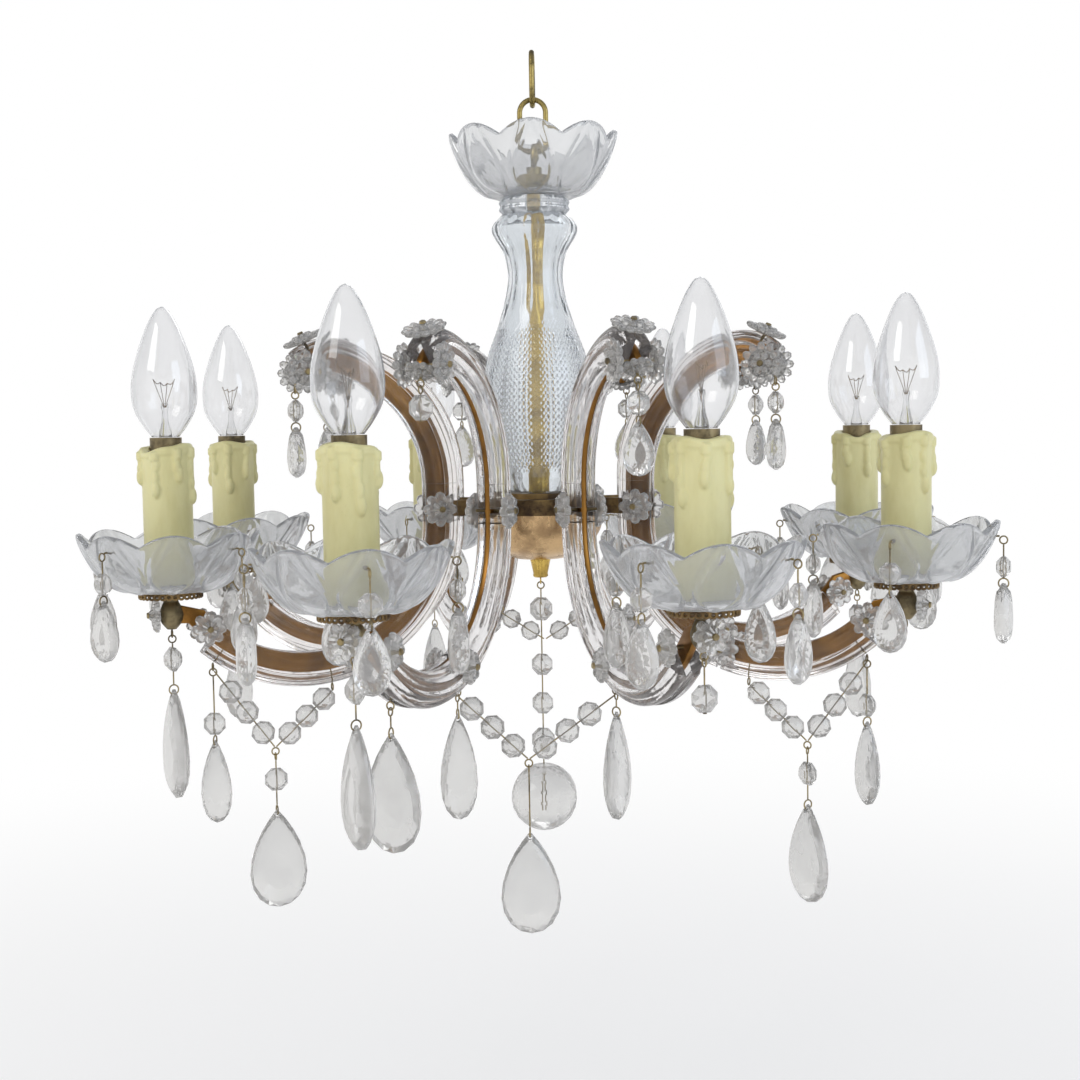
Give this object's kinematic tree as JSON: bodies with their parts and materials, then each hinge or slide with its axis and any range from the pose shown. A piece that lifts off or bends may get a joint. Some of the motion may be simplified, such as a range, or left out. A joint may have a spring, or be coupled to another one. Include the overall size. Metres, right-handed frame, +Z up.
{
  "type": "glass chandelier",
  "caption": "Hanging candle-style chandelier with a glass vase stem, curved glass-clad arms, scalloped drip dishes, screw-in bulbs and cut-glass garlands.",
  "frame": {"origin": "underside of the top bend of the upper chain link, where the ceiling hook bears", "axes": "+Z up, along the stem towards the ceiling; -Y is the front, the side with the front garland; +X to the right seen from the front"},
  "size_m": [0.5039, 0.5054, 0.4886],
  "materials": {
    "brass": "old lacquered brass",
    "polished_brass": "spun and polished",
    "aged_brass": "darkened cast brass",
    "gilt_strap": "gilt strip, rubbed",
    "moulded_glass": "clear ribbed moulding",
    "cut_glass": "clear cut and polished",
    "pressed_glass": "clear pressed glass",
    "patterned_glass": "clear glass pressed with diamonds",
    "bulb_glass": "thin clear glass",
    "candle_sleeve": "cream with moulded wax runs"
  },
  "bodies": {
    "hook_link": {"upper_link": "brass"},
    "chain": {"chain_link": "brass"},
    "frame": {"top_eye": "brass", "centre_rod": "brass", "top_dish": "pressed_glass", "neck_collar": "pressed_glass", "vase": "patterned_glass", "hub_plate": "aged_brass", "hub_bowl": "polished_brass", "finial": "brass", "arm_1": "gilt_strap", "arm_2": "gilt_strap", "arm_3": "gilt_strap", "arm_4": "gilt_strap", "arm_5": "gilt_strap", "arm_6": "gilt_strap", "arm_7": "gilt_strap", "arm_8": "gilt_strap", "arm_glass_left": "moulded_glass", "arm_glass_right": "moulded_glass", "drip_cups": "brass", "lampholders": "brass", "dish_1": "pressed_glass", "dish_2": "pressed_glass", "dish_3": "pressed_glass", "dish_4": "pressed_glass", "dish_5": "pressed_glass", "dish_6": "pressed_glass", "dish_7": "pressed_glass", "dish_8": "pressed_glass", "candle_1": "candle_sleeve", "candle_2": "candle_sleeve", "candle_3": "candle_sleeve", "candle_4": "candle_sleeve", "candle_5": "candle_sleeve", "candle_6": "candle_sleeve", "candle_7": "candle_sleeve", "candle_8": "candle_sleeve", "rosettes": "cut_glass", "pins": "brass", "small_drops": "cut_glass", "garland_beads": "cut_glass"},
    "bulb_1_body": {"bulb_1": "bulb_glass"},
    "bulb_2_body": {"bulb_2": "bulb_glass"},
    "bulb_3_body": {"bulb_3": "bulb_glass"},
    "bulb_4_body": {"bulb_4": "bulb_glass"},
    "bulb_5_body": {"bulb_5": "bulb_glass"},
    "bulb_6_body": {"bulb_6": "bulb_glass"},
    "bulb_7_body": {"bulb_7": "bulb_glass"},
    "bulb_8_body": {"bulb_8": "bulb_glass"},
    "centre_pendant_body": {"centre_pendant": "cut_glass"},
    "garland_drop_front_body": {"garland_drop_front": "cut_glass"},
    "garland_drop_left_body": {"garland_drop_left": "cut_glass"},
    "garland_drop_right_body": {"garland_drop_right": "cut_glass"},
    "arm_drop_1_body": {"arm_drop_1": "cut_glass"},
    "arm_drop_4_body": {"arm_drop_4": "cut_glass"},
    "arm_drop_5_body": {"arm_drop_5": "cut_glass"},
    "arm_drop_6_body": {"arm_drop_6": "cut_glass"},
    "arm_drop_7_body": {"arm_drop_7": "cut_glass"},
    "arm_drop_8_body": {"arm_drop_8": "cut_glass"}
  },
  "joints": [
    {"name": "chain_swing", "type": "hinge", "parent": "hook_link", "child": "chain", "pos_m": [0, 0, -0.0285], "axis": [0, 1, 0], "range_deg": [-20, 20]},
    {"name": "frame_swing", "type": "hinge", "parent": "chain", "child": "frame", "pos_m": [0, 0, -0.0552], "axis": [1, 0, 0], "range_deg": [-20, 20]},
    {"name": "bulb_1_screw", "type": "hinge", "parent": "frame", "child": "bulb_1_body", "pos_m": [-0.08228, -0.19863, -0.2192], "axis": [0, 0, 1], "range_deg": [0, 1080]},
    {"name": "bulb_2_screw", "type": "hinge", "parent": "frame", "child": "bulb_2_body", "pos_m": [0.08228, -0.19863, -0.2192], "axis": [0, 0, 1], "range_deg": [0, 1080]},
    {"name": "bulb_3_screw", "type": "hinge", "parent": "frame", "child": "bulb_3_body", "pos_m": [0.19863, -0.08228, -0.2192], "axis": [0, 0, 1], "range_deg": [0, 1080]},
    {"name": "bulb_4_screw", "type": "hinge", "parent": "frame", "child": "bulb_4_body", "pos_m": [0.19863, 0.08228, -0.2192], "axis": [0, 0, 1], "range_deg": [0, 1080]},
    {"name": "bulb_5_screw", "type": "hinge", "parent": "frame", "child": "bulb_5_body", "pos_m": [0.08228, 0.19863, -0.2192], "axis": [0, 0, 1], "range_deg": [0, 1080]},
    {"name": "bulb_6_screw", "type": "hinge", "parent": "frame", "child": "bulb_6_body", "pos_m": [-0.08228, 0.19863, -0.2192], "axis": [0, 0, 1], "range_deg": [0, 1080]},
    {"name": "bulb_7_screw", "type": "hinge", "parent": "frame", "child": "bulb_7_body", "pos_m": [-0.19863, 0.08228, -0.2192], "axis": [0, 0, 1], "range_deg": [0, 1080]},
    {"name": "bulb_8_screw", "type": "hinge", "parent": "frame", "child": "bulb_8_body", "pos_m": [-0.19863, -0.08228, -0.2192], "axis": [0, 0, 1], "range_deg": [0, 1080]},
    {"name": "centre_pendant_swing", "type": "hinge", "parent": "frame", "child": "centre_pendant_body", "pos_m": [0, 0, -0.306], "axis": [0, 1, 0], "range_deg": [-20, 20]},
    {"name": "garland_front_swing", "type": "hinge", "parent": "frame", "child": "garland_drop_front_body", "pos_m": [-0.005, -0.097, -0.3952], "axis": [1, 0, 0], "range_deg": [-20, 20]},
    {"name": "garland_left_swing", "type": "hinge", "parent": "frame", "child": "garland_drop_left_body", "pos_m": [-0.14798, -0.0613, -0.3942], "axis": [-0.9239, -0.3827, 0], "range_deg": [-20, 20]},
    {"name": "garland_right_swing", "type": "hinge", "parent": "frame", "child": "garland_drop_right_body", "pos_m": [0.14798, -0.0613, -0.3942], "axis": [0.9239, -0.3827, 0], "range_deg": [-20, 20]},
    {"name": "arm_drop_1_swing", "type": "hinge", "parent": "frame", "child": "arm_drop_1_body", "pos_m": [-0.08228, -0.19863, -0.32465], "axis": [0.9239, -0.3827, 0], "range_deg": [-25, 8]},
    {"name": "arm_drop_4_swing", "type": "hinge", "parent": "frame", "child": "arm_drop_4_body", "pos_m": [0.19863, 0.08228, -0.32465], "axis": [-0.3827, 0.9239, 0], "range_deg": [-25, 18]},
    {"name": "arm_drop_5_swing", "type": "hinge", "parent": "frame", "child": "arm_drop_5_body", "pos_m": [0.08228, 0.19863, -0.32465], "axis": [-0.9239, 0.3827, 0], "range_deg": [-25, 18]},
    {"name": "arm_drop_6_swing", "type": "hinge", "parent": "frame", "child": "arm_drop_6_body", "pos_m": [-0.08228, 0.19863, -0.32465], "axis": [-0.9239, -0.3827, 0], "range_deg": [-25, 18]},
    {"name": "arm_drop_7_swing", "type": "hinge", "parent": "frame", "child": "arm_drop_7_body", "pos_m": [-0.19863, 0.08228, -0.32465], "axis": [-0.3827, -0.9239, 0], "range_deg": [-25, 18]},
    {"name": "arm_drop_8_swing", "type": "hinge", "parent": "frame", "child": "arm_drop_8_body", "pos_m": [-0.19863, -0.08228, -0.32465], "axis": [0.3827, -0.9239, 0], "range_deg": [-25, 6]}
  ]
}
